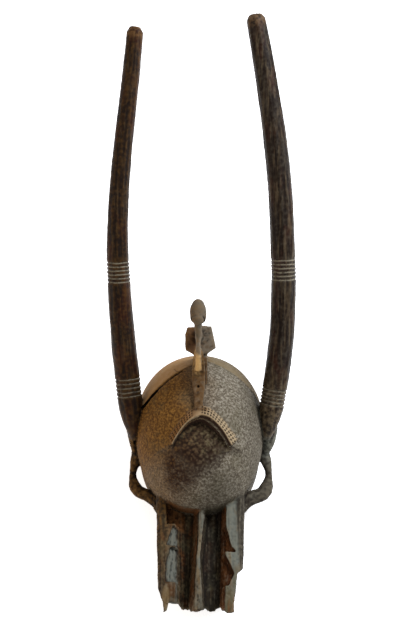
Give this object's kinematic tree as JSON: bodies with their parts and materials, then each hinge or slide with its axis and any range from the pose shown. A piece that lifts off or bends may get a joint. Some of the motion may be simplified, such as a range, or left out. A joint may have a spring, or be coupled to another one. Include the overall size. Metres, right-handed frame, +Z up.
{
  "type": "helmet mask",
  "caption": "Carved wooden helmet mask with long swept horns, a hornbill on the crown, a brow arch, side loops and a trough-topped muzzle with open jaws.",
  "frame": {"origin": "on the floor, in the middle of the mask's outer box, just outside the back of the rim's inner edge", "axes": "+Z up, -Y along the muzzle, +Y along the horns, +X to the right seen from the muzzle with the horns away"},
  "size_m": [0.3334, 0.9304, 0.5454],
  "materials": {
    "carved_wood": "dry dark patina, adze-marked, worn pale on edges and tips"
  },
  "bodies": {
    "root": {"mask": "carved_wood"}
  },
  "joints": []
}
